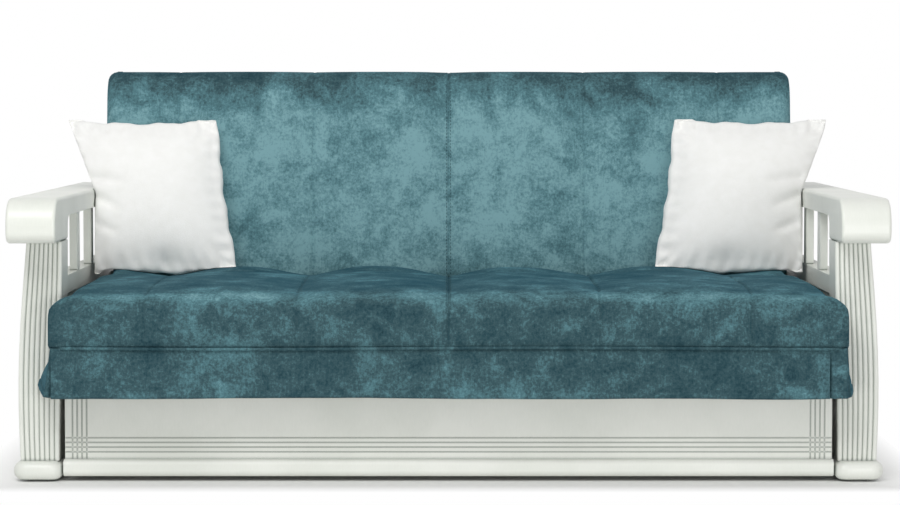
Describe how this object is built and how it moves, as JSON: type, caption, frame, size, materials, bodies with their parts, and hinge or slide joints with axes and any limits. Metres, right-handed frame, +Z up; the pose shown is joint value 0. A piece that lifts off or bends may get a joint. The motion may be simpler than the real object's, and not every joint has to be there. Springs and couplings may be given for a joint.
{
  "type": "sofa bed",
  "caption": "Fold-out sofa bed with rolled, reeded white wooden arms, padded sections that unfold to a flat bed, a skirted seat, a bedding drawer and loose cushions.",
  "frame": {"origin": "on the floor at the middle of the sofa's width and depth", "axes": "+X along the sofa to the right as seen from the front, +Y to the back, +Z up"},
  "size_m": [1.77, 1.2014, 0.8409],
  "materials": {
    "teal_velvet": "mottled short pile",
    "white_plush": "smooth short pile",
    "grey_felt": "felt",
    "birch": "lacquered plywood",
    "black_plastic": "moulded",
    "bright_steel": "zinc plated",
    "grey_steel": "powder coat",
    "raw_board": "melamine board",
    "white_wood": "satin paint"
  },
  "bodies": {
    "base": {"arm_slats_left": "white_wood", "arm_slats_right": "white_wood", "armrest_left": "white_wood", "armrest_right": "white_wood", "bracket_bolts": "bright_steel", "cross_tube": "grey_steel", "felt_strip_left": "grey_felt", "felt_strip_right": "grey_felt", "foot_rail_left": "white_wood", "foot_rail_right": "white_wood", "front_post_left": "white_wood", "front_post_right": "white_wood", "pivot_bracket_left": "grey_steel", "pivot_bracket_right": "grey_steel", "rear_post_left": "white_wood", "rear_post_right": "white_wood", "rear_stretcher": "white_wood", "side_panel_left": "white_wood", "side_panel_right": "white_wood", "side_rail_left": "white_wood", "side_rail_right": "white_wood"},
    "rear_section": {"rear_cross_tubes": "grey_steel", "rear_link_plates": "grey_steel", "rear_mattress": "teal_velvet", "rear_pins": "bright_steel", "rear_side_tubes": "grey_steel", "rear_slat_caps": "black_plastic", "rear_slats": "birch"},
    "back_section": {"back_cross_tubes": "grey_steel", "back_link_plates": "grey_steel", "back_mattress": "teal_velvet", "back_pins": "bright_steel", "back_side_tubes": "grey_steel", "back_slat_caps": "black_plastic", "back_slats": "birch"},
    "seat": {"carriage_boards": "raw_board", "carriage_rails": "raw_board", "drawer_runners": "raw_board", "roller_axles": "bright_steel", "roller_forks": "grey_steel", "seat_cross_tubes": "grey_steel", "seat_link_plates": "grey_steel", "seat_mattress": "teal_velvet", "seat_side_tubes": "grey_steel", "seat_skirt": "teal_velvet", "seat_slat_caps": "black_plastic", "seat_slats": "birch"},
    "drawer": {"drawer_back": "raw_board", "drawer_battens": "raw_board", "drawer_bead": "white_wood", "drawer_floor": "raw_board", "drawer_front": "white_wood", "drawer_sides": "raw_board"},
    "cushion_left": {"cushion_left": "white_plush"},
    "cushion_right": {"cushion_right": "white_plush"},
    "roller_front_left": {"roller_front_left": "black_plastic"},
    "roller_front_right": {"roller_front_right": "black_plastic"},
    "roller_rear_left": {"roller_rear_left": "black_plastic"},
    "roller_rear_right": {"roller_rear_right": "black_plastic"}
  },
  "joints": [
    {"name": "rear_fold", "type": "hinge", "parent": "base", "child": "rear_section", "pos_m": [0, 0.5023, 0.332], "axis": [1, 0, 0], "range_deg": [0, 82]},
    {"name": "top_fold", "type": "hinge", "parent": "rear_section", "child": "back_section", "pos_m": [0, 0.35182, 0.82788], "axis": [1, 0, 0], "range_deg": [-164, 0]},
    {"name": "seat_fold", "type": "hinge", "parent": "back_section", "child": "seat", "pos_m": [0, 0.20134, 0.332], "axis": [1, 0, 0], "range_deg": [0, 82]},
    {"name": "drawer_slide", "type": "slide", "parent": "seat", "child": "drawer", "axis": [0, -1, 0], "range_m": [0, 0.4]},
    {"name": "roller_front_left_spin", "type": "hinge", "parent": "seat", "child": "roller_front_left", "pos_m": [-0.746, -0.39366, 0.02], "axis": [1, 0, 0], "continuous": true},
    {"name": "roller_front_right_spin", "type": "hinge", "parent": "seat", "child": "roller_front_right", "pos_m": [0.746, -0.39366, 0.02], "axis": [1, 0, 0], "continuous": true},
    {"name": "roller_rear_left_spin", "type": "hinge", "parent": "seat", "child": "roller_rear_left", "pos_m": [-0.746, -0.00666, 0.02], "axis": [1, 0, 0], "continuous": true},
    {"name": "roller_rear_right_spin", "type": "hinge", "parent": "seat", "child": "roller_rear_right", "pos_m": [0.746, -0.00666, 0.02], "axis": [1, 0, 0], "continuous": true},
    {"name": "cushion_left_lift", "type": "slide", "parent": "seat", "child": "cushion_left", "axis": [0, 0, 1], "range_m": [0, 0.35]},
    {"name": "cushion_right_lift", "type": "slide", "parent": "seat", "child": "cushion_right", "axis": [0, 0, 1], "range_m": [0, 0.35]}
  ],
  "couplings": [
    {"joint": "top_fold", "follows": "rear_fold", "ratio": -2},
    {"joint": "seat_fold", "follows": "rear_fold", "ratio": 1}
  ]
}
